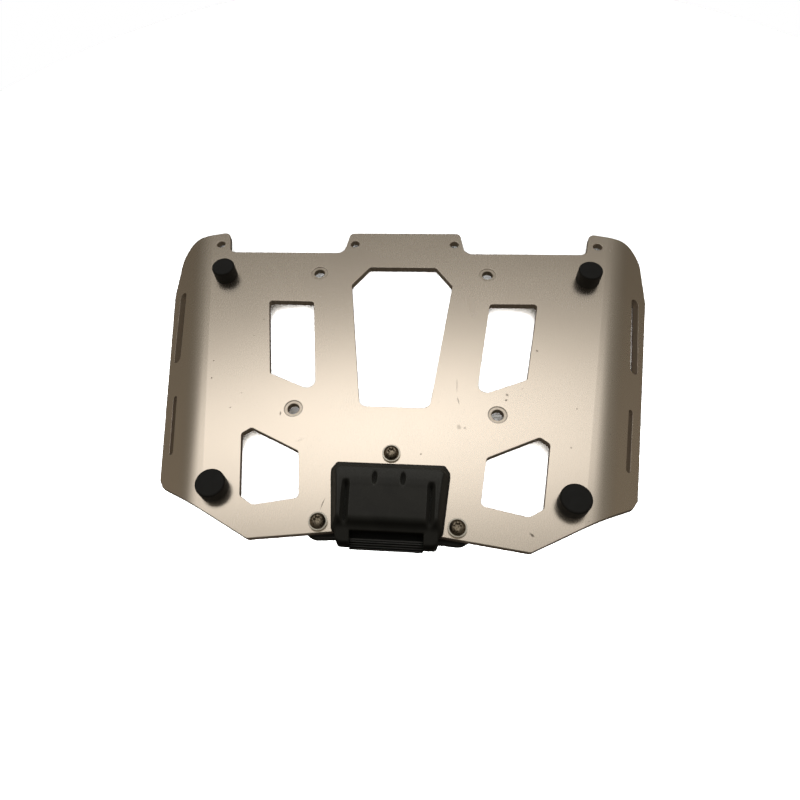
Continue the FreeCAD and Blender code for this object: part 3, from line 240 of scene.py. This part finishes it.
# ---------------------------------------------------------------------------
# Aluminium sheet: satin, finely ground, with laser-cut edges
# ---------------------------------------------------------------------------
def sheet_material():
    a = Mat("satin_aluminium")
    flat = a.coords()
    # grinding lines run from front to rear: stretched along Y
    grain = a.coords(scale=(1, 0.03, 1))
    fine = a.noise(grain, 5200, 4, 0.65)
    broad = a.noise(grain, 900, 3, 0.55)
    cloud = a.noise(flat, 9, 4, 0.55, 0.4)
    mottle = a.noise(flat, 60, 4, 0.6, 0.2)
    pits = a.voronoi(flat, 620)
    # short handling scratches at odd angles, thin and sparse
    lines = None
    for turn, scale, seed in ((0.35, 55, 0.3), (-0.8, 42, 1.7), (1.35, 36, 4.1)):
        v = a.coords(scale=(1, 0.05, 1), shift=(seed, seed * 0.7, 0), turn=turn)
        cell = a.voronoi(v, scale * 9, "DISTANCE_TO_EDGE")
        thin = a.range(cell, 0.0, 0.018, 1.0, 0.0)
        patch = a.range(a.noise(a.coords(shift=(seed, 0, 0)), 26, 2, 0.5), 0.62, 0.72, 0.0, 1.0)
        one = a.math("MULTIPLY", thin, patch)
        lines = one if lines is None else a.math("MAXIMUM", lines, one)
    specks = a.range(a.voronoi(a.coords(shift=(0.2, 0.1, 0)), 95), 0.045, 0.075, 1.0, 0.0)
    speck_here = a.range(a.noise(flat, 18, 2, 0.5), 0.57, 0.63, 0.0, 1.0)
    specks = a.math("MULTIPLY", specks, speck_here)

    # single marks of use, each at its own place: x, y, half sizes, turn
    ragged = a.noise(a.coords(), 1500, 3, 0.7)
    marks = None
    for x, y, rx, ry, turn, level in MARKS:
        d = a.spot(x, y, rx, ry, turn)
        d = a.math("ADD", d, a.range(ragged, 0.3, 0.7, -0.45, 0.45))
        one = a.range(d, 0.55, 1.05, level, 0.0, smooth=True)
        marks = one if marks is None else a.math("MAXIMUM", marks, one)

    # the round seats are rubbed by the screws that were clamped on them
    seats = painted_step_shade = None
    for x, y in SEATS:
        d = a.spot(x, y, 1.0, 1.0, 0.0)
        one = a.range(d, 0.0064, 0.0067, 1.0 if y > 0 else 0.6, 0.0)
        seats = one if seats is None else a.math("MAXIMUM", seats, one)
        if y < 0:
            # painted shade: a dark line along the step around the rear seats, where shadow falls in it
            off = a.math("ABSOLUTE", a.math("SUBTRACT", d, 0.0066))
            line = a.range(off, 0.00015, 0.0006, a.range(ragged, 0.3, 0.7, 0.25, 0.75), 0.0)
            painted_step_shade = line if painted_step_shade is None else a.math("MAXIMUM", painted_step_shade, line)
    rubbed = a.noise(a.coords(shift=(3.0, 1.0, 0.0)), 700, 4, 0.7)

    wall = a.range(a.up(), 0.45, 0.75, 1.0, 0.0)
    cut_lines = a.noise(a.coords(scale=(1, 1, 0.04)), 2600, 2, 0.6)

    base = a.ramp(cloud, [(0.25, (0.890, 0.775, 0.645)), (0.75, (0.925, 0.808, 0.676))])
    base = a.mix(a.range(mottle, 0.35, 0.70, 0.0, 0.05), base, (0.72, 0.63, 0.52))
    base = a.mix(a.math("MULTIPLY", a.range(fine, 0.3, 0.7), 0.04), base, (0.55, 0.49, 0.42))
    base = a.mix(a.math("MULTIPLY", lines, 0.30), base, (0.95, 0.88, 0.78))
    base = a.mix(a.math("MULTIPLY", specks, 0.50), base, (0.30, 0.25, 0.20))
    base = a.mix(a.math("MULTIPLY", seats, a.range(rubbed, 0.3, 0.7, 0.30, 0.62)), base, (0.42, 0.36, 0.28))
    # painted shade: the dark line along the step around the rear seats
    base = a.mix(painted_step_shade, base, (0.20, 0.16, 0.12))
    base = a.mix(marks, base, (0.22, 0.18, 0.14))
    base = a.mix(a.math("MULTIPLY", wall, a.range(cut_lines, 0.3, 0.7, 0.35, 0.75)), base, (0.36, 0.31, 0.26))
    a.put(a.b, "Base Color", base)
    a.b.inputs["Metallic"].default_value = 1.0

    rough = a.range(fine, 0.2, 0.8, 0.252, 0.280)
    rough = a.math("ADD", rough, a.range(cloud, 0.2, 0.8, -0.015, 0.02))
    rough = a.math("ADD", rough, a.math("MULTIPLY", wall, 0.32))
    rough = a.math("ADD", rough, a.math("MULTIPLY", seats, a.range(rubbed, 0.3, 0.7, 0.05, 0.2)))
    rough = a.math("ADD", rough, a.math("MULTIPLY", a.math("MAXIMUM", specks, marks), 0.25), clamp=True)
    a.put(a.b, "Roughness", rough)

    n = a.soft_edges(0.00045)
    n = a.bump(fine, 0.0000005, 0.8, n)
    n = a.bump(broad, 0.0000009, 0.6, n)
    n = a.bump(a.range(pits, 0.0, 0.35), 0.0000008, 0.4, n)
    n = a.bump(lines, 0.00002, -0.8, n)
    n = a.bump(marks, 0.00006, -0.8, n)
    n = a.bump(a.math("MULTIPLY", seats, rubbed), 0.00002, 0.8, n)
    n = a.bump(a.math("MULTIPLY", wall, cut_lines), 0.00005, 0.8, n)
    a.put(a.b, "Normal", n)
    return a


# ---------------------------------------------------------------------------
# Rubber of the buffers
# ---------------------------------------------------------------------------
def rubber_material():
    a = Mat("black_rubber")
    flat = a.coords()
    grain = a.noise(flat, 2600, 3, 0.7)
    soft = a.noise(flat, 160, 4, 0.6, 0.5)
    dust = a.range(a.noise(flat, 420, 4, 0.65), 0.52, 0.75, 0.0, 1.0)
    edge = a.edge_mask(0.0009)
    base = a.ramp(soft, [(0.3, (0.0110, 0.0104, 0.0092)), (0.7, (0.0165, 0.0156, 0.0138))])
    base = a.mix(a.math("MULTIPLY", dust, 0.06), base, (0.05, 0.045, 0.038))
    base = a.mix(a.math("MULTIPLY", edge, a.range(soft, 0.35, 0.65, 0.05, 0.35)), base, (0.020, 0.019, 0.017))
    a.put(a.b, "Base Color", base)
    a.put(a.b, "Roughness", a.range(soft, 0.2, 0.8, 0.52, 0.72))
    a.b.inputs["Specular IOR Level"].default_value = 0.40
    n = a.soft_edges(0.0005)
    n = a.bump(grain, 0.00003, 0.7, n)
    n = a.bump(soft, 0.0001, 0.35, n)
    a.put(a.b, "Normal", n)
    return a


# ---------------------------------------------------------------------------
# Moulded black plastic of the catch block
# ---------------------------------------------------------------------------
def moulding_material(name, faceted):
    a = Mat(name)
    flat = a.coords()
    spark = a.voronoi(flat, 2400)
    grain = a.noise(flat, 1500, 3, 0.65)
    soft = a.noise(flat, 70, 4, 0.55, 0.3)
    scuff = a.range(a.noise(a.coords(scale=(1, 0.15, 1), turn=0.5), 380, 4, 0.7), 0.60, 0.74, 0.0, 1.0)
    if faceted:
        edge = a.edge_mask(0.0007)
    else:
        wear_and_crevice_curvature = a.node("ShaderNodeNewGeometry")
        edge = a.range(wear_and_crevice_curvature.outputs["Pointiness"], 0.515, 0.56)
        # painted shade: low pointiness marks crevices and groove bottoms, whose colour is darkened below
        painted_crevice_shade = a.range(wear_and_crevice_curvature.outputs["Pointiness"], 0.44, 0.49, 1.0, 0.0)
    base = a.ramp(soft, [(0.3, (0.0088, 0.0082, 0.0068)), (0.7, (0.0122, 0.0114, 0.0094))])
    base = a.mix(a.math("MULTIPLY", scuff, 0.08), base, (0.040, 0.038, 0.034))
    base = a.mix(a.math("MULTIPLY", edge, a.range(soft, 0.4, 0.7, 0.05, 0.4)), base, (0.020, 0.019, 0.017))
    a.put(a.b, "Base Color", base)
    rough = a.range(spark, 0.0, 0.6, 0.44, 0.56)
    rough = a.math("ADD", rough, a.range(soft, 0.2, 0.8, -0.04, 0.05))
    if not faceted:
        rough = a.math("ADD", rough, a.math("MULTIPLY", painted_crevice_shade, 0.5), clamp=True)
        # painted shade: a darker colour in crevices and groove bottoms
        base = a.mix(painted_crevice_shade, base, (0.0055, 0.0052, 0.0046))
        a.put(a.b, "Base Color", base)
    a.put(a.b, "Roughness", rough)
    a.b.inputs["Specular IOR Level"].default_value = 0.36 if faceted else 0.50
    a.b.inputs["IOR"].default_value = 1.5 if faceted else 1.22
    n = a.soft_edges(0.0010) if faceted else None
    n = a.bump(a.range(spark, 0.0, 0.6), 0.00003, 0.6, n)
    n = a.bump(grain, 0.00004, 0.45, n)
    a.put(a.b, "Normal", n)
    return a


# ---------------------------------------------------------------------------
# Zinc-plated and darker satin steel of the fasteners
# ---------------------------------------------------------------------------
def steel_material(name, low, high, r_low, r_high, stain, reach=0.62, depth=0.4):
    a = Mat(name)
    flat = a.coords()
    fine = a.noise(flat, 3800, 4, 0.6)
    turned = a.noise(a.coords(scale=(1, 1, 8)), 900, 3, 0.6)
    soft = a.noise(flat, 300, 4, 0.6, 0.6)
    spots = a.range(a.noise(flat, 800, 3, 0.6), reach, reach + 0.10, 0.0, 1.0)
    edge = a.edge_mask(0.0004)
    base = a.ramp(soft, [(0.3, low), (0.7, high)])
    base = a.mix(a.math("MULTIPLY", spots, depth), base, stain)
    base = a.mix(a.math("MULTIPLY", edge, 0.4), base, tuple(min(1.0, 1.25 * c) for c in high))
    a.put(a.b, "Base Color", base)
    a.b.inputs["Metallic"].default_value = 1.0
    a.put(a.b, "Roughness", a.math("ADD", a.range(soft, 0.2, 0.8, r_low, r_high), a.math("MULTIPLY", spots, 0.15)))
    n = a.soft_edges(0.00028)
    n = a.bump(fine, 0.000015, 0.6, n)
    n = a.bump(turned, 0.00003, 0.35, n)
    a.put(a.b, "Normal", n)
    return a


SHEET = sheet_material()
RUBBER = rubber_material()
MOULDED = moulding_material("black_moulding", True)
SHELL = moulding_material("black_moulding_shell", False)
ZINC = steel_material("zinc_plate", (0.58, 0.53, 0.44), (0.72, 0.67, 0.57), 0.26, 0.40, (0.38, 0.33, 0.26))
DARK = steel_material("satin_steel", (0.25, 0.205, 0.145), (0.42, 0.35, 0.26), 0.22, 0.38, (0.045, 0.034, 0.022), 0.50, 0.80)

BY_SLOT = {
    "sheet_aluminium": SHEET,
    "black_rubber": RUBBER,
    "black_moulding": MOULDED,
    "zinc_steel": ZINC,
    "dark_steel": DARK,
}
for part in frame["record"]["subparts"]:
    paint(nodes[part["node"]], BY_SLOT[part["material_slot"]])

# ---------------------------------------------------------------------------
# Catch block: a moulded shell with soft edges, drawn as a distance field and
# meshed from it.  Lengths in millimetres, from the sheet's top face and from
# the centre line between the windows, which lies DATUM ahead of the origin.
# ---------------------------------------------------------------------------
DATUM = 15.45


def smin(a, b, k):
    h = np.maximum(k - np.abs(a - b), 0.0) / k
    return np.minimum(a, b) - h * h * k * 0.25


def smax(a, b, k):
    return -smin(-a, -b, k)


def polygon_field(X, Y, points, r):
    """Distance to a convex outline whose corners are rounded by r."""
    n = len(points)
    area = sum(points[i][0] * points[(i + 1) % n][1] - points[(i + 1) % n][0] * points[i][1] for i in range(n))
    if area < 0:
        points = points[::-1]
    inner = []
    for i in range(n):
        # outline moved inwards by r
        (ax, ay), (bx, by), (cx, cy) = points[i - 1], points[i], points[(i + 1) % n]
        e1, e2 = Vector((bx - ax, by - ay)).normalized(), Vector((cx - bx, cy - by)).normalized()
        n1, n2 = Vector((-e1.y, e1.x)), Vector((-e2.y, e2.x))
        m = (n1 + n2) / (1.0 + n1.dot(n2))
        inner.append((bx + m.x * r, by + m.y * r))
    painted_floor_shade = np.full(X.shape, 1e9)
    side = np.full(X.shape, -1e9)
    for i in range(n):
        (ax, ay), (bx, by) = inner[i], inner[(i + 1) % n]
        ex, ey = bx - ax, by - ay
        length = math.hypot(ex, ey)
        t_ = np.clip(((X - ax) * ex + (Y - ay) * ey) / length ** 2, 0.0, 1.0)
        painted_floor_shade = np.minimum(painted_floor_shade, np.hypot(X - ax - t_ * ex, Y - ay - t_ * ey))
        side = np.maximum(side, ((X - ax) * ey - (Y - ay) * ex) / length)
    return np.where(side < 0, -painted_floor_shade, painted_floor_shade) - r


def surface(field, lo, step):
    """Closed quad mesh around the cells where the field changes sign."""
    f = field
    inside = f < 0
    corners = [(i, j, k) for i in (0, 1) for j in (0, 1) for k in (0, 1)]
    nx, ny, nz = (d - 1 for d in f.shape)
    cut = lambda c: (slice(c[0], c[0] + nx), slice(c[1], c[1] + ny), slice(c[2], c[2] + nz))
    count = sum(inside[cut(c)].astype(np.int8) for c in corners)
    cells = np.argwhere((count > 0) & (count < 8))
    index = np.full((nx, ny, nz), -1, dtype=np.int64)
    index[tuple(cells.T)] = np.arange(len(cells))
    total_, hits = np.zeros((len(cells), 3)), np.zeros(len(cells))
    for a in corners:
        for axis in range(3):
            if a[axis] == 1:
                continue
            b = list(a)
            b[axis] = 1
            va = f[tuple((cells + a).T)]
            vb = f[tuple((cells + b).T)]
            hit = (va < 0) != (vb < 0)
            w = np.where(hit, va / np.where(hit, va - vb, 1.0), 0.0)
            p = np.tile(np.array(a, dtype=float), (len(cells), 1))
            p[:, axis] += w
            total_[hit] += p[hit]
            hits += hit
    verts = (cells + total_ / hits[:, None]) * step + np.array(lo)
    quads = []
    for axis in range(3):
        u, v = [i for i in range(3) if i != axis]
        lo_ = [slice(None)] * 3
        hi_ = [slice(None)] * 3
        lo_[axis], hi_[axis] = slice(0, -1), slice(1, None)
        edges = np.argwhere(inside[tuple(lo_)] != inside[tuple(hi_)])
        edges = edges[(edges[:, u] > 0) & (edges[:, v] > 0) & (edges[:, u] <= (nx, ny, nz)[u] - 1) & (edges[:, v] <= (nx, ny, nz)[v] - 1)]
        out_ = inside[tuple(edges.T)]
        ring_ = []
        for du, dv in ((1, 1), (0, 1), (0, 0), (1, 0)):
            c = edges.copy()
            c[:, u] -= du
            c[:, v] -= dv
            ring_.append(index[tuple(c.T)])
        q = np.stack(ring_, 1)
        flip = out_ if axis != 1 else ~out_
        q[~flip] = q[~flip][:, ::-1]
        quads.append(q)
    return verts, np.concatenate(quads)


def block_field(X, Y, Z):
    both_sides = lambda half: half + [(-x, y) for x, y in reversed(half)]
    A = np.abs(X)
    X2, Y2 = X[:, :, 0], Y[:, :, 0]
    plan = lambda pts, r: polygon_field(X2, Y2, both_sides(pts), r)[:, :, None]
    # flat skirt on the sheet
    border = plan([(36.8, -93.6), (40.6, -99.4), (35.6, -143.0)], 2.6)
    skirt = smax(border, (Z - 0.7 - 0.75 * np.clip(-border, 0.0, 2.4)) * 0.8, 0.5)
    skirt = smax(skirt, -Z, 0.4)
    # raised body: drafted walls, curved front ramp, sloping rear face
    wall = (plan([(35.0, -96.8), (39.2, -101.6), (35.0, -142.8)], 4.0) + 0.40 * (Z - 2.2)) * 0.928
    fall = np.clip(Y + 113.0, 0.0, None)
    back = np.clip(-113.0 - Y, 0.0, None)
    top = 11.95 - 0.0125 * fall ** 2 - 0.046 * back
    # shallow dish between the two rims
    dish = np.clip((28.5 - A) / 2.6, 0.0, 1.0)
    dish = dish * dish * (3 - 2 * dish) * np.clip((-108.5 - Y) / 6.0, 0.0, 1.0)
    top = top - 0.35 * dish
    # round-bottomed grooves inside the rims
    run = np.clip((-109.6 - Y) / 4.5, 0.0, 1.0)
    run = run * run * (3 - 2 * run)
    centre = 27.9 - 0.022 * (-112.0 - Y)
    vee = np.clip(1.0 - np.abs(A - centre) / 2.7, 0.0, 1.0)
    top = top - 4.2 * run * vee * (1.6 - 0.6 * vee)
    rear = ((-136.2 - Y) * 8.6 + (Z - 10.8) * 6.7) / 10.90
    crown = np.exp(-((A - 32.3) / 1.5) ** 2) * np.clip((-103.0 - Y) / 8.0, 0.0, 1.0)
    body = smax(wall, (Z - top - 0.45 * crown) * 0.93, 1.7)
    body = smax(body, rear, 2.0)
    body = smax(body, Z - 11.98, 0.3)
    body = smax(body, -Z, 0.4)
    shell = smin(skirt, body, 1.2)
    # cheeks behind the sheet's rear edge
    outline = plan([(33.2, -137.0), (32.9, -151.0)], 5.0)
    cap = np.interp(-Y, [137.0, 142.0, 149.2, 152.5], [6.6, 5.4, 3.2, -0.4])
    floor_z = np.where(Y > -144.9, 0.0, -5.0)
    cheek = smax(smax(outline, (Z - cap) * 0.92, 2.0), floor_z - Z, 0.6)
    shell = smin(shell, cheek, 1.6)
    # open bay between the cheeks
    bay = np.maximum(A - 23.6, Y + 142.6)
    shell = smax(shell, -bay, 0.9)
    # soft oval notches in the front slope
    for side in (-1, 1):
        pit = (np.sqrt(((X - side * 9.3) / 1.75) ** 2 + ((Y + 108.2) / 5.2) ** 2 + ((Z - 12.4) / 3.7) ** 2) - 1.0) * 1.6
        shell = smax(shell, -pit, 0.7)
    # hollow underneath, with four screw bosses
    rise = np.clip(Z / 9.0, -0.6, 1.0)
    inner = polygon_field(X2, Y2, both_sides([(31.4, -102.6), (29.6, -138.4)]), 1.5)[:, :, None] + 3.2 * rise
    hollow = smax(inner, Z - np.minimum(7.4, top - 2.8), 1.5)
    shell = smax(shell, -hollow, 0.8)
    for bx, by in ((21.5, -112.5), (21.5, -129.5)):
        d = np.hypot(A - bx, Y - by)
        boss = np.maximum(np.maximum(d - 3.8, Z - 9.0), -5.0 - Z)
        shell = np.minimum(shell, boss)
        shell = np.maximum(shell, -np.maximum(d - 1.6, Z - 7.0))
    # window for the hook through the rear wall
    gate = np.maximum(np.maximum(A - 15.0, np.abs(Y + 140.0) - 3.0), np.abs(Z - 0.4) - 1.6)
    return np.maximum(shell, -gate)


def build_block():
    step = 0.5
    lo = (-42.0, -153.0, -6.0)
    hi = (42.0, -92.0, 13.5)
    axes = [np.arange(a, b + step / 2, step) for a, b in zip(lo, hi)]
    X, Y, Z = np.meshgrid(*axes, indexing="ij")
    verts, quads = surface(block_field(X, Y, Z), lo, step)
    verts[:, 1] += DATUM
    verts *= 0.001
    verts[:, 2] += TOP
    me = bpy.data.meshes.new("catch_block")
    me.from_pydata(verts.tolist(), [], quads.tolist())
    me.polygons.foreach_set("use_smooth", [True] * len(me.polygons))
    me.update()
    ob = bpy.data.objects.new("catch_block", me)
    scene.collection.objects.link(ob)
    return ob


block = build_block()
paint(block, SHELL)
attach(block, "root")
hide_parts("latch_housing")

BOX_LEVEL, BOX_Y, BOX_H, BOX_SY = 1.62, 0.527, 0.164, 0.045
BOX_L, BOX_SL, BOX_R, BOX_SR = -0.689, 0.873, 0.423, 0.672
BOX_TILT, BOX_CURVE = 0.047, -0.154
SIDE_LEFT, SIDE_RIGHT, SIDE_SPREAD = 0.114, 0.119, 1.11
SIDE_COLOUR = (1.0, 0.87, 0.69)
# surroundings from straight below to straight above, as (place, colour)
ROOM = [
    (0.0, (0.090, 0.082, 0.070)),
    (0.25, (0.060, 0.053, 0.044)),
    (0.37, (0.055, 0.048, 0.039)),
    (0.50, (0.065, 0.058, 0.047)),
    (0.65, (0.075, 0.068, 0.057)),
    (1.0, (0.264, 0.258, 0.235)),
]

# ---------------------------------------------------------------------------
# Studio: pale floor, soft sky with one broad bright patch, soft lamps
# ---------------------------------------------------------------------------
FLOOR = 0.62
mesh = bpy.data.meshes.new("floor")
ring = [(FLOOR * math.cos(i * math.tau / 128), FLOOR * math.sin(i * math.tau / 128), 0) for i in range(128)]
mesh.from_pydata(ring, [], [tuple(range(128))])
floor = bpy.data.objects.new("floor", mesh)
floor.location.z = -0.0002
scene.collection.objects.link(floor)
f = Mat("pale_floor")
# painted shade: the floor's colour darkens by ambient occlusion where the rack closes it off, standing in for the
# shadow under the rack and in its holes and slots
painted_floor_shade = f.node("ShaderNodeAmbientOcclusion")
painted_floor_shade.samples = 20
painted_floor_shade.inputs["Distance"].default_value = 0.08
f.put(f.b, "Base Color", f.ramp(painted_floor_shade.outputs["AO"], [
    (0.11, (0.022, 0.019, 0.015)),
    (0.17, (0.060, 0.055, 0.048)),
    (0.205, (0.200, 0.187, 0.172)),
    (0.235, (0.300, 0.300, 0.297)),
    (0.26, (0.312, 0.312, 0.309)),
]))
f.b.inputs["Roughness"].default_value = 0.95
f.b.inputs["Specular IOR Level"].default_value = 0.0
mesh.materials.append(f.m)
floor.visible_glossy = False
floor.visible_diffuse = False

world = bpy.data.worlds.new("studio")
scene.world = world
world.use_nodes = True
t = world.node_tree
t.nodes.clear()


def wmath(op, a, b=None, clamp=False):
    n = t.nodes.new("ShaderNodeMath")
    n.operation = op
    n.use_clamp = clamp
    for i, v in enumerate((a, b)):
        if v is None:
            continue
        if isinstance(v, bpy.types.NodeSocket):
            t.links.new(v, n.inputs[i])
        else:
            n.inputs[i].default_value = v
    return n.outputs[0]


def wstep(v, a, b, c=0.0, d=1.0, smooth=True):
    n = t.nodes.new("ShaderNodeMapRange")
    n.interpolation_type = "SMOOTHSTEP" if smooth else "LINEAR"
    t.links.new(v, n.inputs["Value"])
    for k, x in (("From Min", a), ("From Max", b), ("To Min", c), ("To Max", d)):
        n.inputs[k].default_value = x
    return n.outputs["Result"]


def wscale(colour, level):
    n = t.nodes.new("ShaderNodeVectorMath")
    n.operation = "SCALE"
    n.inputs[0].default_value = colour
    t.links.new(level, n.inputs["Scale"])
    return n.outputs[0]


def wadd(a, b):
    n = t.nodes.new("ShaderNodeVectorMath")
    n.operation = "ADD"
    t.links.new(a, n.inputs[0])
    t.links.new(b, n.inputs[1])
    return n.outputs[0]


# one long softbox overhead and ahead of the rack, drawn on a plane above it
tc = t.nodes.new("ShaderNodeTexCoord")
nrm = t.nodes.new("ShaderNodeVectorMath")
nrm.operation = "NORMALIZE"
sep = t.nodes.new("ShaderNodeSeparateXYZ")
t.links.new(tc.outputs["Generated"], nrm.inputs[0])
t.links.new(nrm.outputs[0], sep.inputs[0])
height = wmath("MAXIMUM", sep.outputs["Z"], 0.03)
px = wmath("DIVIDE", sep.outputs["X"], height)
bow = wmath("MULTIPLY", wmath("MULTIPLY", px, px), BOX_CURVE)
py = wmath("SUBTRACT", wmath("DIVIDE", sep.outputs["Y"], height), wmath("ADD", wmath("MULTIPLY", px, BOX_TILT), bow))
far = wmath("MULTIPLY", wstep(py, BOX_Y - BOX_H - BOX_SY, BOX_Y - BOX_H + BOX_SY),
            wstep(py, BOX_Y + BOX_H - BOX_SY, BOX_Y + BOX_H + BOX_SY, 1.0, 0.0))
wide = wmath("MULTIPLY", wstep(px, BOX_L - BOX_SL, BOX_L + BOX_SL), wstep(px, BOX_R - BOX_SR, BOX_R + BOX_SR, 1.0, 0.0))
box_light = wmath("MULTIPLY", wmath("MULTIPLY", far, wide), wmath("GREATER_THAN", sep.outputs["Z"], 0.0))
total = wscale((1.0, 1.0, 1.0), wmath("MULTIPLY", box_light, BOX_LEVEL))
# weak glow from the far left and the far right
low = wmath("EXPONENT", wmath("MULTIPLY", wmath("MULTIPLY", sep.outputs["Z"], sep.outputs["Z"]), -SIDE_SPREAD))
for sign, level in ((-1.0, SIDE_LEFT), (1.0, SIDE_RIGHT)):
    aim = wmath("MAXIMUM", wmath("MULTIPLY", sep.outputs["X"], sign), 0.0)
    aim = wmath("POWER", aim, 4.0)
    total = wadd(total, wscale(SIDE_COLOUR, wmath("MULTIPLY", wmath("MULTIPLY", aim, low), level)))
room = t.nodes.new("ShaderNodeValToRGB")
t.links.new(wstep(sep.outputs["Z"], -1.0, 1.0, smooth=False), room.inputs["Fac"])
elements = room.color_ramp.elements
while len(elements) > 1:
    elements.remove(elements[-1])
elements[0].position, elements[0].color = 0.0, (*ROOM[0][1], 1)
for pos, colour in ROOM[1:]:
    x = elements.new(pos)
    x.color = (*colour, 1)
total = wadd(total, room.outputs["Color"])
bg = t.nodes.new("ShaderNodeBackground")
t.links.new(total, bg.inputs["Color"])
bg.inputs["Strength"].default_value = 1.0
# past the floor's rim stands a plain white backdrop
pale = t.nodes.new("ShaderNodeBackground")
pale.inputs["Color"].default_value = (1.0, 1.0, 1.0, 1.0)
seen = t.nodes.new("ShaderNodeLightPath")
pick = t.nodes.new("ShaderNodeMixShader")
t.links.new(seen.outputs["Is Camera Ray"], pick.inputs[0])
t.links.new(bg.outputs[0], pick.inputs[1])
t.links.new(pale.outputs[0], pick.inputs[2])
out = t.nodes.new("ShaderNodeOutputWorld")
t.links.new(pick.outputs[0], out.inputs["Surface"])
world.cycles.sampling_method = "MANUAL"
world.cycles.sample_map_resolution = 1024


def lamp(name, loc, look, size, energy, colour=(1, 1, 1), glossy=True):
    data = bpy.data.lights.new(name, "AREA")
    data.shape = "RECTANGLE"
    data.size, data.size_y = size
    data.energy = energy
    data.color = colour
    o = bpy.data.objects.new(name, data)
    o.location = loc
    o.rotation_euler = (Vector(look) - Vector(loc)).to_track_quat("-Z", "Y").to_euler()
    scene.collection.objects.link(o)
    o.visible_glossy = glossy
    o.visible_camera = False
    return o


# a strip of light over the camera that only the floor is lit by
strip = lamp("floor_strip", (0.0233, -0.308, 0.363 + TOP), (0.0233, -0.308, 0.0), (0.24, 0.464), 1.0, (1, 1, 1), glossy=False)
strip.data.use_nodes = True
lt = strip.data.node_tree
even = lt.nodes.new("ShaderNodeLightFalloff")
even.inputs["Strength"].default_value = 185.0
glow = next(n for n in lt.nodes if n.type == "EMISSION")
lt.links.new(even.outputs["Constant"], glow.inputs["Strength"])
only = bpy.data.collections.new("lit_by_floor_strip")
only.objects.link(floor)
strip.light_linking.receiver_collection = only
# a narrow-beamed lamp over the floor's far side, past the rack
beyond = lamp("floor_far", (0.0, 0.66, 0.8), (0.0, 0.66, 0.0), (1.8, 0.2), 15.0, (1, 1, 1), glossy=False)
beyond.data.spread = math.radians(60.0)
beyond.light_linking.receiver_collection = only
# soft lights that only the black catch block is lit by: one low and far ahead, two at its sides
ahead = lamp("front_softbox", (0.0, 0.56, 0.48), (0.0, -0.09, TOP), (0.6, 0.26), 3.1, (1.0, 1.0, 0.95))
black = bpy.data.collections.new("lit_by_front_softbox")
black.objects.link(block)
black.objects.link(nodes["latch_base"])
ahead.light_linking.receiver_collection = black
for side in (-1, 1):
    beside = lamp("side_softbox", (side * 0.46, 0.16, 0.50), (0.0, -0.10, TOP), (0.16, 0.40), 2.3, (1.0, 0.99, 0.95))
    beside.light_linking.receiver_collection = black

# ---------------------------------------------------------------------------
# Camera
# ---------------------------------------------------------------------------
cam_data = bpy.data.cameras.new("camera")
cam = bpy.data.objects.new("camera", cam_data)
scene.collection.objects.link(cam)
right = Vector((0.99589172, 0.06841547, -0.05932127))
up = Vector((-0.03061809, 0.87093847, 0.49043727))
back = Vector((0.08521867, -0.48660611, 0.86945516))
m = Matrix((right, up, back)).transposed().to_4x4()
m.translation = Vector((0.02327, -0.25189 + 0.01545, 0.36281 + TOP))
cam.matrix_world = m
cam_data.sensor_width = 36.0
cam_data.lens = 36.0 * 579.88 / 800.0
cam_data.shift_x = (400 - 377.26) / 800.0
cam_data.shift_y = (405.89 - 400) / 800.0
cam_data.clip_start, cam_data.clip_end = 0.01, 20.0
scene.camera = cam

scene.view_settings.view_transform = "Standard"
scene.view_settings.look = "None"
scene.view_settings.exposure = 0.0
scene.view_settings.gamma = 1.0
